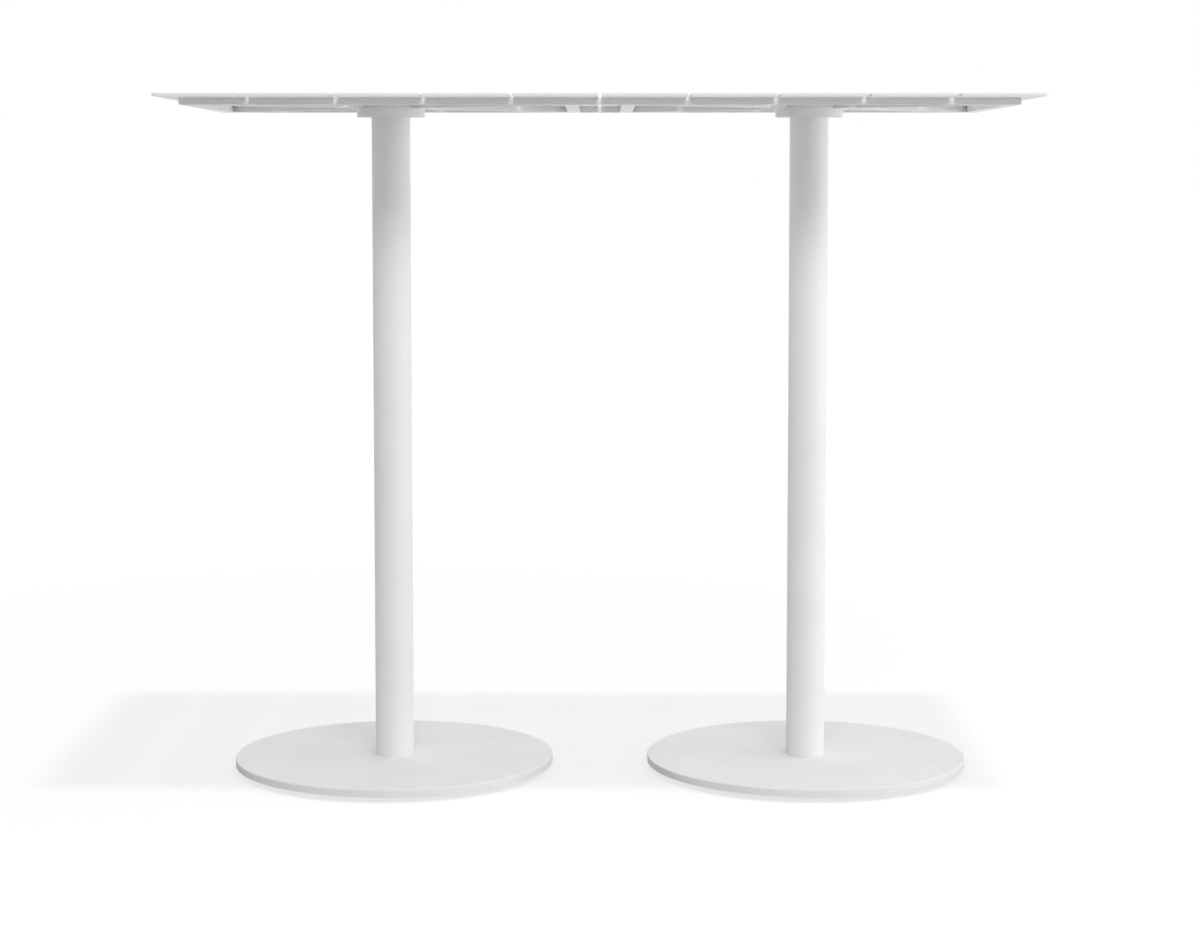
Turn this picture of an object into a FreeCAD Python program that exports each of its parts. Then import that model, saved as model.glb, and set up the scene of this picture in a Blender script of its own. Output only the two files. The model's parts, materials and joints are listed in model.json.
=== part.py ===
import FreeCAD, Part
import math
import os
import Sketcher

from FreeCAD import Placement, Rotation, Vector

# Bar table: ten metal slats on a welded frame of flat bar, carried by two pillars on round base plates.
# Millimetres. X runs along the table, Y from front to back and Z up. The origin lies on the floor,
# midway between the pillars.

SIZES = {
    # Top
    "table_height": 1050.0,
    "slat_count": 10,
    "slat_width": 124.0,
    "slat_gap": 5.0,
    "slat_length": 640.0,
    "slat_thickness": 4.0,
    "slat_edge_radius": 0.8,
    "top_corner_radius": 6.0,
    # Frame of flat bar, and how far the top stands over it at its ends, front and back
    "end_overhang": 25.0,
    "side_overhang": 90.0,
    "bar_width": 20.0,
    "bar_height": 10.0,
    "centre_gap": 65.0,
    "hub_diameter": 105.0,
    "weld_gap": 0.2,
    # Pillars
    "pillar_diameter": 60.0,
    "pillar_wall": 2.0,
    "flange_thickness": 13.0,
    "flange_socket_depth": 7.0,
    # Base plates
    "base_diameter": 500.0,
    "base_thickness": 11.0,
    "base_chamfer": 0.8,
    # Levelling glides
    "floor_gap": 9.0,
    "glide_inset": 48.0,
    "pad_diameter": 32.0,
    "pad_flats": 19.0,
    "pad_chamfer": 1.0,
    "pad_foot_share": 0.55,
    "stud_diameter": 8.0,
    "stud_socket_share": 0.6,
    # Countersunk screws
    "screw_diameter": 8.0,
    "screw_head": 15.6,
    "key_flats_share": 0.62,
    "key_depth_share": 0.45,
    # Blind threads: how far a screw reaches into its piece, and how deep the hole is drilled
    "thread_bite_share": 0.65,
    "tapped_hole_share": 0.8,
    # Clearance round screws, studs and tubes
    "fit_clearance": 0.1,
}

ZERO = "0"
HALF_TURN = 180
QUARTER_TURN = 90
FULL_TURN = 360
SCREWS_PER_FLANGE = 4
GLIDES_PER_BASE = 4
HEXAGON_SIDES = 6
COUNTERSINK_ANGLE = 90
SIDES = {"left": -1, "right": 1}

# Sizes that follow from the sheet, as expressions.
slat_pitch = "(sizes.slat_width + sizes.slat_gap)"
top_length = f"(sizes.slat_count * {slat_pitch} - sizes.slat_gap)"
frame_length = f"({top_length} - 2 * sizes.end_overhang)"
frame_width = "(sizes.slat_length - 2 * sizes.side_overhang)"
rail_line = f"({frame_width} - sizes.bar_width) / 2"
end_rail_line = f"({frame_length} - sizes.bar_width) / 2"
cross_rail_line = "(sizes.centre_gap + sizes.bar_width) / 2"
pillar_place = f"({frame_length} + sizes.centre_gap) / 4"
bay_reach = f"(({frame_length} - sizes.centre_gap) / 4 - sizes.bar_width)"
bay_depth = f"({frame_width} / 2 - sizes.bar_width)"
slat_level = "(sizes.table_height - sizes.slat_thickness)"
frame_level = f"({slat_level} - sizes.bar_height)"
flange_level = f"({frame_level} - sizes.flange_thickness)"
base_top = "(sizes.floor_gap + sizes.base_thickness)"
flange_screw_place = "(sizes.pillar_diameter + sizes.hub_diameter) / 4"
glide_place = "(sizes.base_diameter / 2 - sizes.glide_inset)"
hub_reach = "(sizes.hub_diameter / 2 + sizes.weld_gap)"

# The four arms of a bay are one shape, turned or flipped into its corners.
ARM_PLACES = {
    (1, 1): (Rotation(), frame_level),
    (-1, -1): (Rotation(Vector(0, 0, 1), HALF_TURN), frame_level),
    (1, -1): (Rotation(Vector(1, 0, 0), HALF_TURN), slat_level),
    (-1, 1): (Rotation(Vector(0, 1, 0), HALF_TURN), slat_level),
}

doc = FreeCAD.newDocument("bar_table")
sheet = doc.addObject("Spreadsheet::Sheet", "sizes")
for row, (alias, size) in enumerate(SIZES.items(), start=1):
    sheet.set(f"A{row}", alias)
    sheet.set(f"B{row}", str(size))
    sheet.setAlias(f"B{row}", alias)
doc.recompute()

pieces = []


def value(expression):
    return float(sheet.evalExpression(expression))


def widened(diameter):
    """Diameter of a hole that clears a round piece of the given diameter."""
    return f"({diameter} + 2 * sizes.fit_clearance)"


def new_piece(label, x=ZERO, y=ZERO, z=ZERO, rotation=Rotation()):
    """Body of one sub-part, placed by expressions."""
    body = doc.addObject("PartDesign::Body", label)
    body.Label = label
    body.Placement = Placement(Vector(), rotation)
    for axis, expression in zip("xyz", (x, y, z)):
        body.setExpression(f"Placement.Base.{axis}", expression)
    pieces.append(body)
    return body


def origin_item(body, role):
    return next(item for item in body.Origin.OriginFeatures if item.Role == role)


def new_sketch(body, name, x=ZERO, level=ZERO, role="XY_Plane"):
    """Sketch on one of the body's planes, its own origin moved to x along and level above."""
    sketch = body.newObject("Sketcher::SketchObject", name)
    sketch.AttachmentSupport = [(origin_item(body, role), "")]
    sketch.MapMode = "FlatFace"
    sketch.setExpression("AttachmentOffset.Base.x", x)
    sketch.setExpression("AttachmentOffset.Base.z", level)
    return sketch


def bind(sketch, expression, *constraint):
    """Dimension of a sketch, driven by an expression."""
    index = sketch.addConstraint(Sketcher.Constraint(*constraint, value(expression)))
    sketch.setExpression(f"Constraints[{index}]", expression)


def place_point(sketch, geometry, end, x, y):
    """Ties a point to the sketch's axes, or at a distance from them."""
    for axis, distance, expression in ((-2, "DistanceX", x), (-1, "DistanceY", y)):
        if expression == ZERO:
            sketch.addConstraint(Sketcher.Constraint("PointOnObject", geometry, end, axis))
        else:
            bind(sketch, expression, distance, -1, 1, geometry, end)


def draw_circle(sketch, diameter, x=ZERO, y=ZERO):
    centre = Vector(value(x), value(y), 0)
    circle = sketch.addGeometry(Part.Circle(centre, Vector(0, 0, 1), value(diameter) / 2), False)
    place_point(sketch, circle, 3, x, y)
    bind(sketch, diameter, "Diameter", circle)


def draw_outline(sketch, points):
    """Closed outline of straight lines through points given as pairs of expressions."""
    corners = [Vector(value(x), value(y), 0) for x, y in points]
    lines = [
        sketch.addGeometry(Part.LineSegment(start, end), False)
        for start, end in zip(corners, corners[1:] + corners[:1])
    ]
    for line, (x, y) in zip(lines, points):
        place_point(sketch, line, 1, x, y)
    for line, following in zip(lines, lines[1:] + lines[:1]):
        sketch.addConstraint(Sketcher.Constraint("Coincident", line, 2, following, 1))


def draw_rectangle(sketch, width, length):
    x, y = f"{width} / 2", f"{length} / 2"
    draw_outline(sketch, ((f"-{x}", f"-{y}"), (x, f"-{y}"), (x, y), (f"-{x}", y)))


def draw_hexagon(sketch, flats):
    """Regular hexagon about the sketch's origin, measured across its flats."""
    ring = Part.Circle(Vector(), Vector(0, 0, 1), value(flats) / 2)
    ring_index = sketch.addGeometry(ring, True)
    sketch.addConstraint(Sketcher.Constraint("Coincident", ring_index, 3, -1, 1))
    bind(sketch, flats, "Diameter", ring_index)
    reach = value(flats) / 2 / math.cos(math.pi / HEXAGON_SIDES)
    corners = [
        Vector(reach * math.cos(turn), reach * math.sin(turn), 0)
        for turn in (2 * math.pi * step / HEXAGON_SIDES for step in range(HEXAGON_SIDES))
    ]
    lines = [
        sketch.addGeometry(Part.LineSegment(start, end), False)
        for start, end in zip(corners, corners[1:] + corners[:1])
    ]
    for line, following in zip(lines, lines[1:] + lines[:1]):
        sketch.addConstraint(Sketcher.Constraint("Coincident", line, 2, following, 1))
        sketch.addConstraint(Sketcher.Constraint("Tangent", line, ring_index))
    for line, following in zip(lines[:-2], lines[1:-1]):
        sketch.addConstraint(Sketcher.Constraint("Equal", line, following))
    sketch.addConstraint(Sketcher.Constraint("PointOnObject", lines[0], 1, -1))


def pad(body, sketch, height, name="pad"):
    feature = body.newObject("PartDesign::Pad", name)
    feature.Profile = sketch
    feature.setExpression("Length", height)
    return feature


def pocket(body, sketch, depth, name, upwards=True):
    """Blind cut into the piece, upwards from a sketch on its underside or down from its top."""
    feature = body.newObject("PartDesign::Pocket", name)
    feature.Profile = sketch
    feature.Reversed = upwards
    feature.setExpression("Length", depth)
    return feature


def countersunk_hole(body, sketch, name):
    """Screw hole upwards through the piece, countersunk from its underside."""
    doc.recompute()
    feature = body.newObject("PartDesign::Hole", name)
    feature.Profile = sketch
    feature.Reversed = True
    feature.DepthType = "ThroughAll"
    feature.HoleCutType = "Countersink"
    feature.HoleCutCustomValues = True
    feature.HoleCutCountersinkAngle = COUNTERSINK_ANGLE
    feature.setExpression("Diameter", widened("sizes.screw_diameter"))
    feature.setExpression("HoleCutDiameter", widened("sizes.screw_head"))
    return feature


def ring_pattern(body, features, count, name):
    """Repeats features evenly round the body's upright axis."""
    pattern = body.newObject("PartDesign::PolarPattern", name)
    pattern.Originals = features
    pattern.Axis = (origin_item(body, "Z_Axis"), [""])
    pattern.Angle = FULL_TURN
    pattern.Occurrences = count
    body.Tip = pattern


def edges_at(feature, height):
    """Names of the edges that lie at a height of the body."""
    doc.recompute()
    return [
        f"Edge{number}"
        for number, edge in enumerate(feature.Shape.Edges, start=1)
        if all(math.isclose(vertex.Z, value(height), abs_tol=Part.Precision.confusion())
               for vertex in edge.Vertexes)
    ]


def upright_edges(feature, side):
    """Names of the upright edges of a flat piece on one side of its middle."""
    doc.recompute()
    return [
        f"Edge{number}"
        for number, edge in enumerate(feature.Shape.Edges, start=1)
        if edge.tangentAt(edge.FirstParameter).cross(Vector(0, 0, 1)).Length < Part.Precision.confusion()
        and edge.CenterOfMass.x * side > 0
    ]


def rounded(body, feature, edges, radius, name):
    fillet = body.newObject("PartDesign::Fillet", name)
    fillet.Base = (feature, edges)
    fillet.setExpression("Radius", radius)
    return fillet


def chamfered(body, feature, edges, size, name):
    chamfer = body.newObject("PartDesign::Chamfer", name)
    chamfer.Base = (feature, edges)
    chamfer.setExpression("Size", size)
    return chamfer


def make_slat(number):
    """One slat of the top, welded to the rails from below."""
    place = f"({number} - (sizes.slat_count + 1) / 2) * {slat_pitch}"
    body = new_piece(f"top_slat_{number:02d}", x=place, z=slat_level)
    outline = new_sketch(body, "slat_outline")
    draw_rectangle(outline, "sizes.slat_width", "sizes.slat_length")
    solid = pad(body, outline, "sizes.slat_thickness")
    outer_side = {1: -1, SIZES["slat_count"]: 1}.get(number)
    if outer_side:
        corners = upright_edges(solid, outer_side)
        solid = rounded(body, solid, corners, "sizes.top_corner_radius", "top_corners")
    rim = edges_at(solid, "sizes.slat_thickness")
    rounded(body, solid, rim, "sizes.slat_edge_radius", "slat_edges")


def make_ring_rail(label, length, turn, x=ZERO, y=ZERO):
    """Bar of the outer ring with mitred ends, its long edge outwards."""
    body = new_piece(label, x=x, y=y, z=frame_level, rotation=Rotation(Vector(0, 0, 1), turn))
    outline = new_sketch(body, "rail_outline")
    outer, inner, half_bar = f"{length} / 2", f"({length} / 2 - sizes.bar_width)", "sizes.bar_width / 2"
    draw_outline(outline, (
        (f"-{outer}", f"-{half_bar}"),
        (outer, f"-{half_bar}"),
        (inner, half_bar),
        (f"-{inner}", half_bar),
    ))
    pad(body, outline, "sizes.bar_height")


def make_cross_rail(side, sign):
    """Bar from front to back beside the middle of the frame."""
    body = new_piece(f"{side}_cross_rail", x=f"{sign} * {cross_rail_line}", z=frame_level)
    outline = new_sketch(body, "rail_outline")
    draw_rectangle(outline, "sizes.bar_width", f"(2 * {bay_depth})")
    pad(body, outline, "sizes.bar_height")


def make_arm(label, sign, turn, level):
    """Diagonal arm, cut to a point in its bay's corner and coped round the hub."""
    body = new_piece(label, x=f"{sign} * {pillar_place}", z=level, rotation=turn)
    sketch = new_sketch(body, "arm_outline")
    corner = Vector(value(bay_reach), value(bay_depth), 0)
    along = Vector(corner).normalize()
    across = Vector(-along.y, along.x, 0) * (value("sizes.bar_width") / 2)
    cope = value(hub_reach)
    inner_end = along * math.sqrt(cope**2 - across.Length**2)
    spread = math.asin(across.Length / cope)
    heading = math.atan2(along.y, along.x)
    on_end_rail = along * ((corner.x + across.x) / along.x) - across
    on_long_rail = along * ((corner.y - across.y) / along.y) + across
    points = [inner_end - across, on_end_rail, corner, on_long_rail, inner_end + across]
    near, end_face, long_face, far = [
        sketch.addGeometry(Part.LineSegment(start, end), False)
        for start, end in zip(points, points[1:])
    ]
    ring = Part.Circle(Vector(), Vector(0, 0, 1), cope)
    arc = sketch.addGeometry(Part.ArcOfCircle(ring, heading - spread, heading + spread), False)
    middle = sketch.addGeometry(Part.LineSegment(Vector(), corner), True)
    for line, following in ((near, end_face), (end_face, long_face), (long_face, far)):
        sketch.addConstraint(Sketcher.Constraint("Coincident", line, 2, following, 1))
    sketch.addConstraint(Sketcher.Constraint("Coincident", far, 2, arc, 2))
    sketch.addConstraint(Sketcher.Constraint("Coincident", near, 1, arc, 1))
    sketch.addConstraint(Sketcher.Constraint("Coincident", arc, 3, -1, 1))
    sketch.addConstraint(Sketcher.Constraint("Coincident", middle, 1, -1, 1))
    sketch.addConstraint(Sketcher.Constraint("Coincident", middle, 2, end_face, 2))
    sketch.addConstraint(Sketcher.Constraint("Vertical", end_face))
    sketch.addConstraint(Sketcher.Constraint("Horizontal", long_face))
    sketch.addConstraint(Sketcher.Constraint("Parallel", near, middle))
    sketch.addConstraint(Sketcher.Constraint("Parallel", far, middle))
    bind(sketch, bay_reach, "DistanceX", -1, 1, middle, 2)
    bind(sketch, bay_depth, "DistanceY", -1, 1, middle, 2)
    bind(sketch, hub_reach, "Radius", arc)
    for line in (near, far):
        bind(sketch, "sizes.bar_width / 2", "Distance", line, 1, middle)
    pad(body, sketch, "sizes.bar_height")


def make_hub(side, place):
    """Round hub of a bay, tapped from below for the pillar's flange."""
    body = new_piece(f"{side}_frame_hub", x=place, z=frame_level)
    outline = new_sketch(body, "hub_outline")
    draw_circle(outline, "sizes.hub_diameter")
    pad(body, outline, "sizes.bar_height")
    hole_place = new_sketch(body, "screw_place", x=flange_screw_place)
    draw_circle(hole_place, widened("sizes.screw_diameter"))
    hole = pocket(body, hole_place, "sizes.tapped_hole_share * sizes.bar_height", "tapped_hole")
    ring_pattern(body, [hole], SCREWS_PER_FLANGE, "tapped_holes")


def make_flange(side, place):
    """Flange at the pillar's head, with a socket for the tube."""
    body = new_piece(f"{side}_pillar_flange", x=place, z=flange_level)
    outline = new_sketch(body, "flange_outline")
    draw_circle(outline, "sizes.hub_diameter")
    pad(body, outline, "sizes.flange_thickness")
    socket = new_sketch(body, "socket_outline")
    draw_circle(socket, widened("sizes.pillar_diameter"))
    pocket(body, socket, "sizes.flange_socket_depth", "tube_socket")
    hole_place = new_sketch(body, "screw_place", x=flange_screw_place)
    draw_circle(hole_place, "sizes.screw_diameter")
    hole = countersunk_hole(body, hole_place, "screw_hole")
    ring_pattern(body, [hole], SCREWS_PER_FLANGE, "screw_holes")


def make_pillar(side, place):
    """Round tube from the base plate up into the flange's socket."""
    body = new_piece(f"{side}_pillar", x=place, z=base_top)
    section = new_sketch(body, "tube_section")
    draw_circle(section, "sizes.pillar_diameter")
    draw_circle(section, "(sizes.pillar_diameter - 2 * sizes.pillar_wall)")
    pad(body, section, f"({flange_level} + sizes.flange_socket_depth - {base_top})")


def make_base(side, place):
    """Round plate under the pillar's foot, tapped from below for the glides."""
    body = new_piece(f"{side}_base_plate", x=place, z="sizes.floor_gap")
    outline = new_sketch(body, "plate_outline")
    draw_circle(outline, "sizes.base_diameter")
    disc = pad(body, outline, "sizes.base_thickness")
    rim = edges_at(disc, "sizes.base_thickness")
    chamfered(body, disc, rim, "sizes.base_chamfer", "upper_edge")
    stud_place = new_sketch(body, "stud_place")
    draw_circle(stud_place, widened("sizes.stud_diameter"), *glide_offset(0))
    stud_hole = pocket(body, stud_place, "sizes.tapped_hole_share * sizes.base_thickness", "stud_hole")
    ring_pattern(body, [stud_hole], GLIDES_PER_BASE, "stud_holes")


def make_flange_screws(side, place):
    """Countersunk screws up through the flange into the hub, heads down, with hexagon sockets."""
    body = new_piece(f"{side}_flange_screws", x=place, z=flange_level)
    profile = new_sketch(body, "screw_profile", x=flange_screw_place, role="XZ_Plane")
    head_radius, shank_radius = "sizes.screw_head / 2", "sizes.screw_diameter / 2"
    length = "(sizes.flange_thickness + sizes.thread_bite_share * sizes.bar_height)"
    draw_outline(profile, (
        (ZERO, ZERO),
        (head_radius, ZERO),
        (shank_radius, f"({head_radius} - {shank_radius})"),
        (shank_radius, length),
        (ZERO, length),
    ))
    turned = body.newObject("PartDesign::Revolution", "turned_screw")
    turned.Profile = profile
    turned.ReferenceAxis = (profile, ["V_Axis"])
    turned.Angle = FULL_TURN
    key = new_sketch(body, "key_outline", x=flange_screw_place)
    draw_hexagon(key, "sizes.key_flats_share * sizes.screw_diameter")
    socket = pocket(body, key, "sizes.key_depth_share * sizes.screw_diameter", "key_socket")
    ring_pattern(body, [turned, socket], SCREWS_PER_FLANGE, "screw_ring")


def glide_offset(step):
    """Place of a glide about its pillar, as a pair of expressions."""
    turn = (step + 1 / 2) * FULL_TURN / GLIDES_PER_BASE
    return f"{glide_place} * cos({turn} deg)", f"{glide_place} * sin({turn} deg)"


def make_glide(side, place, step):
    """Levelling glide: a pad with a hexagon for the spanner, on a stud."""
    along, across = glide_offset(step)
    x = f"{place} + {along}"
    pad_body = new_piece(f"{side}_glide_pad_{step + 1}", x=x, y=across)
    foot_height = "sizes.pad_foot_share * sizes.floor_gap"
    foot_outline = new_sketch(pad_body, "foot_outline")
    draw_circle(foot_outline, "sizes.pad_diameter")
    foot = pad(pad_body, foot_outline, foot_height)
    chamfered(pad_body, foot, edges_at(foot, ZERO), "sizes.pad_chamfer", "foot_edge")
    hexagon = new_sketch(pad_body, "hexagon_outline", level=foot_height)
    draw_hexagon(hexagon, "sizes.pad_flats")
    pad(pad_body, hexagon, f"(sizes.floor_gap - {foot_height})", "hexagon")
    bore = new_sketch(pad_body, "stud_bore", level="sizes.floor_gap")
    draw_circle(bore, widened("sizes.stud_diameter"))
    socket_depth = "sizes.stud_socket_share * sizes.floor_gap"
    pocket(pad_body, bore, socket_depth, "stud_socket", upwards=False)

    foot_of_stud = f"(sizes.floor_gap - {socket_depth})"
    stud_body = new_piece(f"{side}_glide_stud_{step + 1}", x=x, y=across, z=foot_of_stud)
    section = new_sketch(stud_body, "stud_section")
    draw_circle(section, "sizes.stud_diameter")
    stud_length = f"({socket_depth} + sizes.thread_bite_share * sizes.base_thickness)"
    pad(stud_body, section, stud_length)


def check_document():
    """Stops where a feature failed, a cut removed nothing or a piece has no sound solid."""
    for item in doc.Objects:
        if {"Invalid", "Error"} & set(item.State):
            raise RuntimeError(f"{item.Label} failed: {item.State}")
        if item.TypeId in ("PartDesign::Pocket", "PartDesign::Hole"):
            if item.Shape.Volume >= item.BaseFeature.Shape.Volume:
                raise RuntimeError(f"{item.Label} cuts nothing")
    for body in pieces:
        if body.Shape.isNull() or not body.Shape.isValid() or not body.Shape.Solids:
            raise RuntimeError(f"{body.Label} has no sound solid")


for slat_number in range(1, SIZES["slat_count"] + 1):
    make_slat(slat_number)

make_ring_rail("front_rail", frame_length, 0, y=f"-{rail_line}")
make_ring_rail("back_rail", frame_length, HALF_TURN, y=rail_line)
make_ring_rail("left_end_rail", frame_width, -QUARTER_TURN, x=f"-{end_rail_line}")
make_ring_rail("right_end_rail", frame_width, QUARTER_TURN, x=end_rail_line)

for side, sign in SIDES.items():
    place = f"{sign} * {pillar_place}"
    make_cross_rail(side, sign)
    for depth, depth_sign in (("front", -1), ("back", 1)):
        for reach, reach_sign in (("outer", sign), ("inner", -sign)):
            turn, level = ARM_PLACES[reach_sign, depth_sign]
            make_arm(f"{side}_{depth}_{reach}_arm", sign, turn, level)
    make_hub(side, place)
    make_flange(side, place)
    make_flange_screws(side, place)
    make_pillar(side, place)
    make_base(side, place)
    for step in range(GLIDES_PER_BASE):
        make_glide(side, place, step)

doc.recompute()
check_document()
os.makedirs("parts", exist_ok=True)
for body in pieces:
    body.Shape.exportStep(f"parts/{body.Label}.step")
print(f"{len(pieces)} pieces, {sum(len(body.Shape.Solids) for body in pieces)} solids")
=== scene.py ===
import json
import math

import bmesh
import bpy
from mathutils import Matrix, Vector


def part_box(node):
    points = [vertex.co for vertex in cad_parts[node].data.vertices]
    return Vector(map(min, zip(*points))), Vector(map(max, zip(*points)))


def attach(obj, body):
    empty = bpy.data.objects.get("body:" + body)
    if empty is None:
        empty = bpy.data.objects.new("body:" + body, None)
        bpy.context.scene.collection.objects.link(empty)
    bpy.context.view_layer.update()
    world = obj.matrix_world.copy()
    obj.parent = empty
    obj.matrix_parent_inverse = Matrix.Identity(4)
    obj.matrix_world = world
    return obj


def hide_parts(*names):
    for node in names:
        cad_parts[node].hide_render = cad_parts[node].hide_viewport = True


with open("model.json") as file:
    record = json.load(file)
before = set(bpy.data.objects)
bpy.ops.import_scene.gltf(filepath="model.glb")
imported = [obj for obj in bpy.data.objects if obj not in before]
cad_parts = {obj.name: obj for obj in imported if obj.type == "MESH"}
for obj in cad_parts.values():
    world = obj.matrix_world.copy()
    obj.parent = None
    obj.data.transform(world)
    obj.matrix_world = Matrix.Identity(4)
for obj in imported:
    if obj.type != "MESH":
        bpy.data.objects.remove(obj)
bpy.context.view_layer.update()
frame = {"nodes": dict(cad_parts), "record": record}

# Camera, in metres
MILLIMETRES = 1000
SENSOR = 0.036
LENS = 0.077631
CAMERA_PLACE = (0.0, -4.0432, 0.925)
CAMERA_TILT = math.radians(4.639)
CAMERA_SHIFT = -0.06
CAMERA_REACH = 200.0

# Light from all round: strength on its dark and bright side, times a factor at the horizon and overhead
WHITE = (1.0, 1.0, 1.0, 1.0)
BRIGHT_SIDE = (1.0, 0.0, 0.0)
SIDE_STRENGTHS = (0.43, 0.97)
OVERHEAD = (0.0, 0.0, 1.0)
HEIGHT_FACTORS = (0.8, 1.2)

# Lamps: place, target, width, height and power
FRONT_SOFTBOX = ((0.65, -3.4, 3.3), (0.0, 0.0, 0.8), 2.7, 1.2, 68.0)
SIDE_SOFTBOX = ((4.2, -0.5, 0.85), (0.0, 0.0, 0.8), 3.0, 0.9, 42.0)
SHADOW_LAMP = ((0.83, -1.42, 8.05), (0.0, 0.0, 0.0), 0.45, 0.45, 460.0)

# Floor as the camera sees it: shade, and glow near and far with the distances where they hold
FLOOR_REACH = 30.0
FLOOR_SHADE = (0.15, 0.15, 0.15, 1.0)
FLOOR_GLOW = (0.755, 0.92)
FLOOR_GLOW_SPAN = (0.9, 6.0)
# Floor to other rays: shade in front and behind with the places along Y where they hold
FLOOR_BOUNCE = (0.36, 0.9)
FLOOR_BOUNCE_SPAN = (-0.1, 0.6)

# Noise: the middle span of its values, and the full span that it is stretched to
NOISE_SPAN = (0.3, 0.7)
FULL_SPAN = (0.0, 1.0)
CLOUD_DETAIL = 4.0

# Colour sockets of the mix node
MIX_COLOURS = (6, 7)
MIX_RESULT = 2

# Powder coat: noises in cycles per metre, heights and edge radius in metres
COAT_CLOUDS = 9.0
COAT_SPECKS = 2600.0
COAT_SPECK_SPAN = (0.62, 0.8)
COAT_SPECK_RANGE = (0.0, 0.35)
COAT_SPECK_SHADE = 0.86
COAT_GLOSS_CLOUDS = 24.0
COAT_ROUGHNESS = (0.5, 0.6)
COAT_PEEL = 620.0
COAT_PEEL_ROUGHNESS = 0.55
COAT_PEEL_STRENGTH = 0.12
COAT_PEEL_HEIGHT = 0.0004
COAT_EDGE = 0.0006
COAT_SPECULAR = 0.25

# Plated metal
METAL_CLOUDS = 120.0
METAL_LINES = 900.0
METAL_LINE_ROUGHNESS = 0.6
METAL_LINE_STRENGTH = 0.15
METAL_LINE_HEIGHT = 0.0002
METAL_EDGE = 0.0003

# Moulded nylon
NYLON_CLOUDS = 60.0
NYLON_GRAIN = 1700.0
NYLON_ROUGHNESS = (0.45, 0.6)
NYLON_GRAIN_STRENGTH = 0.25
NYLON_GRAIN_HEIGHT = 0.0003
NYLON_EDGE = 0.0004

EDGE_SAMPLES = 6
FINE_DETAIL = 3.0

# Rolled M8 thread: pitch, and its depth, root and crest as shares of the pitch
THREAD_PITCH = 0.00125
THREAD_DEPTH_SHARE = 0.61
THREAD_ROOT_SHARE = 0.25
THREAD_CREST_SHARE = 0.125
THREAD_STEPS = 24
THREAD_SPARE_TURNS = 3
MERGE_DISTANCE = 1e-6
CUT_TOLERANCE = 1e-7

# Stitch welds that hold the slats to the frame
WELD_LEG = 0.003
WELD_LENGTH = 0.045
WELD_RIPPLE = 0.0024
WELD_RIPPLE_SHARE = 0.06
WELD_RIPPLE_LAG = 0.3
WELD_BULGE_SHARE = 0.15
WELD_TIP_SHARE = 0.1
WELD_ARC_STEPS = 6
WELD_RINGS_PER_RIPPLE = 4
WELD_PLACES = (-0.11, 0.11)
# Slats over the bays' corners, and the way their welds step aside
WELD_SIDESTEP = 0.03
CORNER_SLATS = {0: 1, 4: -1, 5: 1, 9: -1}


def link(tree, start, end):
    tree.links.new(start, end)


def new_material(name):
    """Empty node material with a Principled shader on its output."""
    material = bpy.data.materials.new(name)
    material.use_nodes = True
    tree = material.node_tree
    tree.nodes.clear()
    output = tree.nodes.new("ShaderNodeOutputMaterial")
    shader = tree.nodes.new("ShaderNodeBsdfPrincipled")
    link(tree, shader.outputs["BSDF"], output.inputs["Surface"])
    return material, tree, shader


def noise(tree, scale, detail=2.0, roughness=0.5):
    """Noise in the piece's own metres, scale in cycles per metre."""
    coordinates = tree.nodes.new("ShaderNodeTexCoord")
    texture = tree.nodes.new("ShaderNodeTexNoise")
    texture.inputs["Scale"].default_value = scale
    texture.inputs["Detail"].default_value = detail
    texture.inputs["Roughness"].default_value = roughness
    link(tree, coordinates.outputs["Object"], texture.inputs["Vector"])
    return texture.outputs["Fac"]


def ranged(tree, value, target, span=NOISE_SPAN):
    """Value stretched from a span to a target range."""
    node = tree.nodes.new("ShaderNodeMapRange")
    for name, numbers in (("From", span), ("To", target)):
        for end, number in zip(("Min", "Max"), numbers):
            node.inputs[f"{name} {end}"].default_value = number
    link(tree, value, node.inputs["Value"])
    return node.outputs["Result"]


def blended(tree, factor, first, second):
    """Mix of two colours, each a tuple or a socket."""
    node = tree.nodes.new("ShaderNodeMix")
    node.data_type = "RGBA"
    link(tree, factor, node.inputs["Factor"])
    for index, colour in zip(MIX_COLOURS, (first, second)):
        if isinstance(colour, tuple):
            node.inputs[index].default_value = (*colour, 1.0)
        else:
            link(tree, colour, node.inputs[index])
    return node.outputs[MIX_RESULT]


def clouded(tree, scale, shade, tint):
    """Colour that drifts softly between a shade and a tint."""
    return blended(tree, ranged(tree, noise(tree, scale, CLOUD_DETAIL), FULL_SPAN), shade, tint)


def bumped(tree, height, strength, distance, edge):
    """Normal of a bumpy surface with softened edges."""
    softened = tree.nodes.new("ShaderNodeBevel")
    softened.samples = EDGE_SAMPLES
    softened.inputs["Radius"].default_value = edge
    bump = tree.nodes.new("ShaderNodeBump")
    bump.inputs["Strength"].default_value = strength
    bump.inputs["Distance"].default_value = distance
    link(tree, height, bump.inputs["Height"])
    link(tree, softened.outputs["Normal"], bump.inputs["Normal"])
    return bump.outputs["Normal"]


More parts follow.
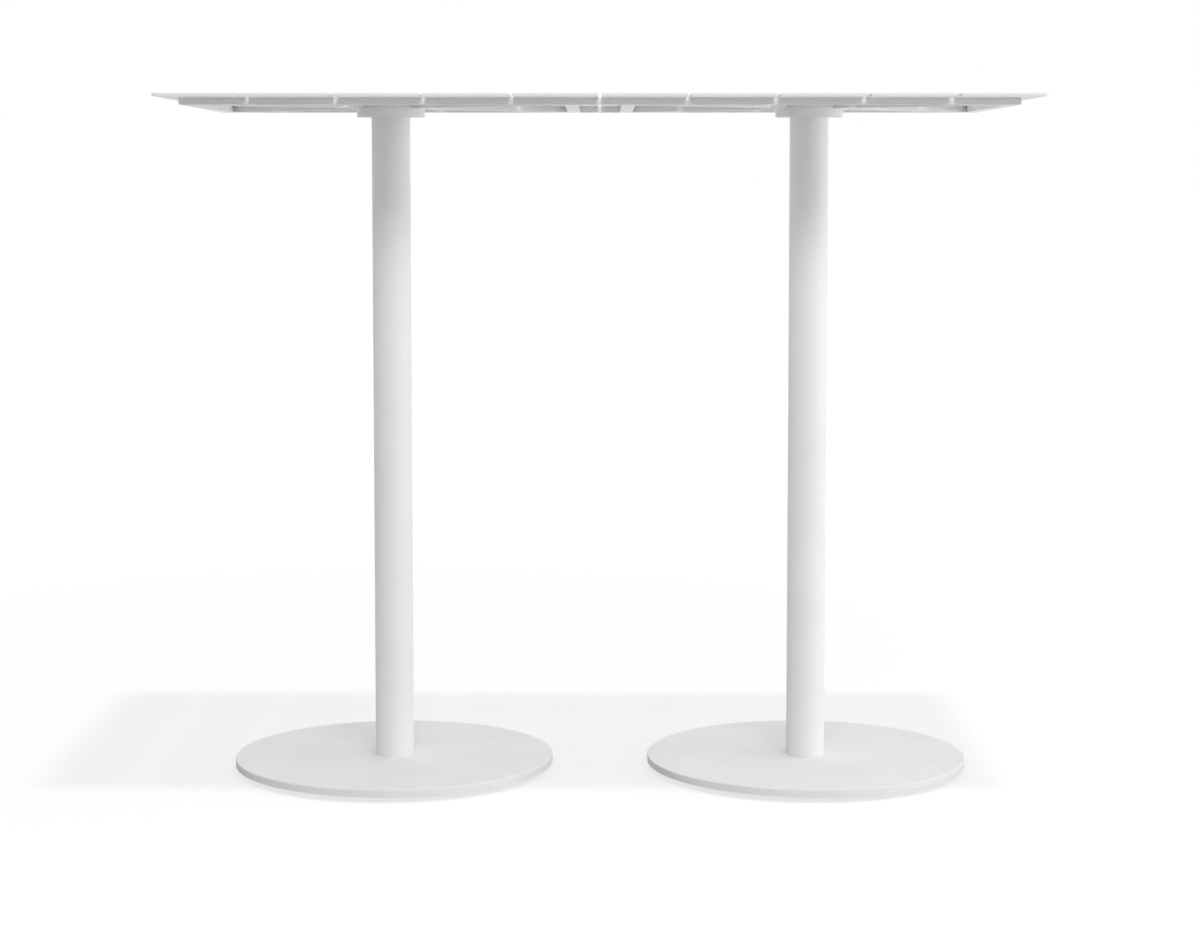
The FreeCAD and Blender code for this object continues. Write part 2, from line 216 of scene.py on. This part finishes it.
def powder_coat(name, shade, tint, peel=1.0):
    """Satin powder coat: orange peel, faint clouding and fine specks."""
    material, tree, shader = new_material(name)
    clouds = clouded(tree, COAT_CLOUDS, shade, tint)
    specks = ranged(tree, noise(tree, COAT_SPECKS, 0.0), COAT_SPECK_RANGE, COAT_SPECK_SPAN)
    darker = tuple(COAT_SPECK_SHADE * part for part in shade)
    link(tree, blended(tree, specks, clouds, darker), shader.inputs["Base Color"])
    gloss = ranged(tree, noise(tree, COAT_GLOSS_CLOUDS, FINE_DETAIL), COAT_ROUGHNESS)
    link(tree, gloss, shader.inputs["Roughness"])
    orange_peel = noise(tree, COAT_PEEL, FINE_DETAIL, COAT_PEEL_ROUGHNESS)
    link(tree, bumped(tree, orange_peel, COAT_PEEL_STRENGTH * peel, COAT_PEEL_HEIGHT, COAT_EDGE),
         shader.inputs["Normal"])
    shader.inputs["Specular IOR Level"].default_value = COAT_SPECULAR
    return material


def metal(name, shade, tint, roughness):
    """Plated metal with a faint grain of machining."""
    material, tree, shader = new_material(name)
    link(tree, clouded(tree, METAL_CLOUDS, shade, tint), shader.inputs["Base Color"])
    lines = noise(tree, METAL_LINES, FINE_DETAIL, METAL_LINE_ROUGHNESS)
    link(tree, ranged(tree, lines, roughness), shader.inputs["Roughness"])
    link(tree, bumped(tree, lines, METAL_LINE_STRENGTH, METAL_LINE_HEIGHT, METAL_EDGE),
         shader.inputs["Normal"])
    shader.inputs["Metallic"].default_value = 1.0
    return material


def nylon(name, shade, tint):
    """Moulded plastic with a spark-eroded grain."""
    material, tree, shader = new_material(name)
    link(tree, clouded(tree, NYLON_CLOUDS, shade, tint), shader.inputs["Base Color"])
    grain = noise(tree, NYLON_GRAIN)
    link(tree, ranged(tree, grain, NYLON_ROUGHNESS), shader.inputs["Roughness"])
    link(tree, bumped(tree, grain, NYLON_GRAIN_STRENGTH, NYLON_GRAIN_HEIGHT, NYLON_EDGE),
         shader.inputs["Normal"])
    return material


FINISHES = {
    "slat_coat": powder_coat("slat_powder_coat", (0.77, 0.77, 0.76), (0.80, 0.80, 0.79)),
    # The frame wears the same white coat as the slats, painted darker as painted shade for the frame
    # under the top.
    "frame_coat": powder_coat("frame_powder_coat_painted_shade", (0.72, 0.72, 0.71), (0.75, 0.75, 0.74)),
    "pillar_coat": powder_coat("pillar_powder_coat", (0.77, 0.77, 0.76), (0.80, 0.80, 0.79)),
    "base_coat": powder_coat("base_powder_coat", (0.76, 0.76, 0.75), (0.80, 0.80, 0.79), peel=1.3),
    "zinc_screw": metal("zinc_plate", (0.62, 0.63, 0.65), (0.72, 0.72, 0.70), (0.28, 0.42)),
    "glide_nylon": nylon("glide_nylon", (0.045, 0.045, 0.048), (0.065, 0.065, 0.068)),
    "stud_steel": metal("stud_zinc_plate", (0.60, 0.61, 0.63), (0.70, 0.70, 0.68), (0.25, 0.4)),
}

for row in frame["record"]["subparts"]:
    mesh = frame["nodes"][row["node"]].data
    mesh.materials.clear()
    mesh.materials.append(FINISHES[row["material_slot"]])


def new_mesh_piece(name, shape, slot, body):
    """Piece from a bmesh, finished like its slot and riding on a body."""
    bmesh.ops.recalc_face_normals(shape, faces=shape.faces)
    mesh = bpy.data.meshes.new(name)
    shape.to_mesh(mesh)
    shape.free()
    mesh.materials.append(FINISHES[slot])
    piece = bpy.data.objects.new(name, mesh)
    bpy.context.scene.collection.objects.link(piece)
    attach(piece, body)
    return piece


def bridge(shape, rows):
    """Faces between neighbouring rows of vertices."""
    for row, following in zip(rows, rows[1:]):
        for near, far, far_next, near_next in zip(row, row[1:], following[1:], following):
            shape.faces.new((near, far, far_next, near_next)).smooth = True


def threaded_stud(low, high):
    """Stud with a rolled thread, in the box of the plain CAD stud."""
    middle = (low + high) / 2
    crest_radius = (high.x - low.x) / 2
    root_radius = crest_radius - THREAD_DEPTH_SHARE * THREAD_PITCH
    flank_share = (1 - THREAD_ROOT_SHARE - THREAD_CREST_SHARE) / 2
    crest_start = THREAD_ROOT_SHARE + flank_share
    profile = ((0, root_radius), (THREAD_ROOT_SHARE, root_radius), (crest_start, crest_radius),
               (crest_start + THREAD_CREST_SHARE, crest_radius), (1, root_radius))
    turns = math.ceil((high.z - low.z) / THREAD_PITCH) + THREAD_SPARE_TURNS
    shape = bmesh.new()
    rows = []
    for step in range(turns * THREAD_STEPS + 1):
        turn = step / THREAD_STEPS
        angle = 2 * math.pi * turn
        rows.append([
            shape.verts.new((middle.x + radius * math.cos(angle), middle.y + radius * math.sin(angle),
                             low.z + (turn + share - THREAD_SPARE_TURNS / 2) * THREAD_PITCH))
            for share, radius in profile
        ])
    bridge(shape, rows)
    bmesh.ops.remove_doubles(shape, verts=shape.verts, dist=MERGE_DISTANCE)
    for end, outwards in ((low, -1), (high, 1)):
        bmesh.ops.bisect_plane(shape, geom=[*shape.verts, *shape.edges, *shape.faces],
                               dist=CUT_TOLERANCE, plane_co=end, plane_no=(0, 0, outwards),
                               clear_outer=True)
    bmesh.ops.holes_fill(shape, edges=[edge for edge in shape.edges if edge.is_boundary])
    return shape


def add_weld(shape, centre, along, across):
    """Rippled fillet weld in the corner between a rail's face and the slat over it."""
    down = Vector((0, 0, -1))
    ring_count = round(WELD_RINGS_PER_RIPPLE * WELD_LENGTH / WELD_RIPPLE)
    rings = []
    for ring in range(ring_count + 1):
        offset = WELD_LENGTH * (ring / ring_count - 0.5)
        into_end = max(0.0, abs(offset) - WELD_LENGTH / 2 + WELD_LEG) / WELD_LEG
        leg = WELD_LEG * max(WELD_TIP_SHARE, math.sqrt(1 - min(1.0, into_end) ** 2))
        corner = centre + along * offset
        points = [corner]
        for step in range(WELD_ARC_STEPS + 1):
            share = step / WELD_ARC_STEPS
            lag = WELD_RIPPLE_LAG * math.sin(math.pi * share)
            wave = math.sin(2 * math.pi * (offset / WELD_RIPPLE + lag))
            ripple = 1 + WELD_RIPPLE_SHARE * wave
            bulge = WELD_BULGE_SHARE * leg * math.sin(math.pi * share)
            points.append(corner + across * (leg * ripple * (1 - share) + bulge)
                          + down * (leg * ripple * share + bulge))
        rings.append([shape.verts.new(point) for point in points])
    bridge(shape, [[*ring, ring[0]] for ring in rings])
    for end in (rings[0], rings[-1]):
        shape.faces.new(end)


def weld_rail(rail, across, centres):
    """Row of stitch welds on one face of a rail."""
    shape = bmesh.new()
    along = Vector((abs(across.y), abs(across.x), 0))
    for centre in centres:
        add_weld(shape, centre, along, across)
    new_mesh_piece(f"{rail}_welds", shape, "frame_coat", "table")


def weld_top():
    """Stitch welds inside the frame, clear of the arms and cross rails."""
    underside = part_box("top_slat_01")[0].z
    slats = sorted(name for name in frame["nodes"] if name.startswith("top_slat_"))
    middles = [sum(corner.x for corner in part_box(name)) / 2 + CORNER_SLATS.get(index, 0) * WELD_SIDESTEP
               for index, name in enumerate(slats)]
    for rail, inwards in (("front_rail", 1), ("back_rail", -1)):
        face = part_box(rail)[inwards > 0].y
        weld_rail(rail, Vector((0, inwards, 0)), [Vector((x, face, underside)) for x in middles])
    for rail, inwards in (("left_end_rail", 1), ("right_end_rail", -1),
                          ("left_cross_rail", 1), ("right_cross_rail", -1)):
        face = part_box(rail)[inwards > 0].x
        weld_rail(rail, Vector((inwards, 0, 0)), [Vector((face, y, underside)) for y in WELD_PLACES])


def thread_studs():
    """Threaded studs in place of the plain ones."""
    for node in [name for name in frame["nodes"] if "_glide_stud_" in name]:
        side, _, _, number = node.split("_")
        piece = new_mesh_piece(f"{side}_threaded_stud_{number}", threaded_stud(*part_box(node)),
                               "stud_steel", f"{side}_glide_{number}")
        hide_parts(node)


def seen_by_camera(tree):
    """One for camera, glossy and transmission rays."""
    path = tree.nodes.new("ShaderNodeLightPath")
    total = path.outputs["Is Camera Ray"]
    for name in ("Is Glossy Ray", "Is Transmission Ray"):
        larger = tree.nodes.new("ShaderNodeMath")
        larger.operation = "MAXIMUM"
        link(tree, total, larger.inputs[0])
        link(tree, path.outputs[name], larger.inputs[1])
        total = larger.outputs[0]
    return total


def choose_by_ray(tree, output, plain, seen):
    """Puts one shader on the output for the rays that show it, and another for the rest."""
    choice = tree.nodes.new("ShaderNodeMixShader")
    link(tree, seen_by_camera(tree), choice.inputs[0])
    link(tree, plain.outputs[0], choice.inputs[1])
    link(tree, seen.outputs[0], choice.inputs[2])
    link(tree, choice.outputs[0], output.inputs["Surface"])


def make_floor():
    """Pale floor that is white to the camera and keeps the table's shadow."""
    mesh = bpy.data.meshes.new("studio_floor")
    corners = ((-1, -1), (1, -1), (1, 1), (-1, 1))
    mesh.from_pydata([(x * FLOOR_REACH, y * FLOOR_REACH, 0) for x, y in corners], [], [(0, 1, 2, 3)])
    floor = bpy.data.objects.new("studio_floor", mesh)
    bpy.context.scene.collection.objects.link(floor)
    material = bpy.data.materials.new("studio_floor")
    material.use_nodes = True
    tree = material.node_tree
    tree.nodes.clear()
    output = tree.nodes.new("ShaderNodeOutputMaterial")
    coordinates = tree.nodes.new("ShaderNodeTexCoord")
    place = tree.nodes.new("ShaderNodeSeparateXYZ")
    link(tree, coordinates.outputs["Object"], place.inputs[0])
    plain = tree.nodes.new("ShaderNodeBsdfDiffuse")
    link(tree, ranged(tree, place.outputs["Y"], FLOOR_BOUNCE, FLOOR_BOUNCE_SPAN), plain.inputs["Color"])
    seen = tree.nodes.new("ShaderNodeBsdfDiffuse")
    seen.inputs["Color"].default_value = FLOOR_SHADE
    distance = tree.nodes.new("ShaderNodeVectorMath")
    distance.operation = "LENGTH"
    link(tree, coordinates.outputs["Object"], distance.inputs[0])
    glow = tree.nodes.new("ShaderNodeEmission")
    link(tree, ranged(tree, distance.outputs["Value"], FLOOR_GLOW, FLOOR_GLOW_SPAN),
         glow.inputs["Strength"])
    bright = tree.nodes.new("ShaderNodeAddShader")
    link(tree, seen.outputs[0], bright.inputs[0])
    link(tree, glow.outputs[0], bright.inputs[1])
    choose_by_ray(tree, output, plain, bright)
    mesh.materials.append(material)
    return floor


def make_world():
    """Soft light from all round, white where the camera sees it."""
    world = bpy.data.worlds.new("studio")
    bpy.context.scene.world = world
    world.use_nodes = True
    tree = world.node_tree
    tree.nodes.clear()
    output = tree.nodes.new("ShaderNodeOutputWorld")
    coordinates = tree.nodes.new("ShaderNodeTexCoord")
    strength = tree.nodes.new("ShaderNodeMath")
    strength.operation = "MULTIPLY"
    for factor, heading, target, span in zip(strength.inputs, (BRIGHT_SIDE, OVERHEAD),
                                             (SIDE_STRENGTHS, HEIGHT_FACTORS),
                                             ((-1.0, 1.0), (0.0, 1.0))):
        along = tree.nodes.new("ShaderNodeVectorMath")
        along.operation = "DOT_PRODUCT"
        along.inputs[1].default_value = heading
        link(tree, coordinates.outputs["Generated"], along.inputs[0])
        link(tree, ranged(tree, along.outputs["Value"], target, span), factor)
    soft = tree.nodes.new("ShaderNodeBackground")
    link(tree, strength.outputs[0], soft.inputs["Strength"])
    white = tree.nodes.new("ShaderNodeBackground")
    for node in (soft, white):
        node.inputs["Color"].default_value = WHITE
    choose_by_ray(tree, output, soft, white)


def add_softbox(name, place, target, width, height, power):
    light = bpy.data.lights.new(name, "AREA")
    light.shape = "RECTANGLE"
    light.size, light.size_y, light.energy = width, height, power
    lamp = bpy.data.objects.new(name, light)
    lamp.location = place
    lamp.rotation_euler = (Vector(target) - Vector(place)).to_track_quat("-Z", "Y").to_euler()
    bpy.context.scene.collection.objects.link(lamp)
    return lamp


def light_only(lamp, pieces):
    """Lets a lamp light some pieces alone, in the shadow of all the others."""
    lit = bpy.data.collections.new(f"lit_by_{lamp.name}")
    for piece in pieces:
        lit.objects.link(piece)
    lamp.light_linking.receiver_collection = lit


def add_camera():
    """Camera at the photograph's angle."""
    camera = bpy.data.cameras.new("photo_view")
    camera.sensor_width = SENSOR * MILLIMETRES
    camera.lens = LENS * MILLIMETRES
    camera.shift_y = CAMERA_SHIFT
    camera.clip_end = CAMERA_REACH
    eye = bpy.data.objects.new("photo_view", camera)
    eye.location = CAMERA_PLACE
    eye.rotation_euler = (math.pi / 2 - CAMERA_TILT, 0.0, 0.0)
    bpy.context.scene.collection.objects.link(eye)
    bpy.context.scene.camera = eye


weld_top()
thread_studs()
floor = make_floor()
make_world()
add_softbox("front_softbox", *FRONT_SOFTBOX)
add_softbox("side_softbox", *SIDE_SOFTBOX)
# The overhead lamp casts the table's shadow on the floor and falls through the slots on the frame.
frame_bars = [frame["nodes"][row["node"]] for row in frame["record"]["subparts"]
              if row["material_slot"] == "frame_coat"]
light_only(add_softbox("shadow_lamp", *SHADOW_LAMP), [floor, *frame_bars])
add_camera()
bpy.context.scene.view_settings.view_transform = "Standard"
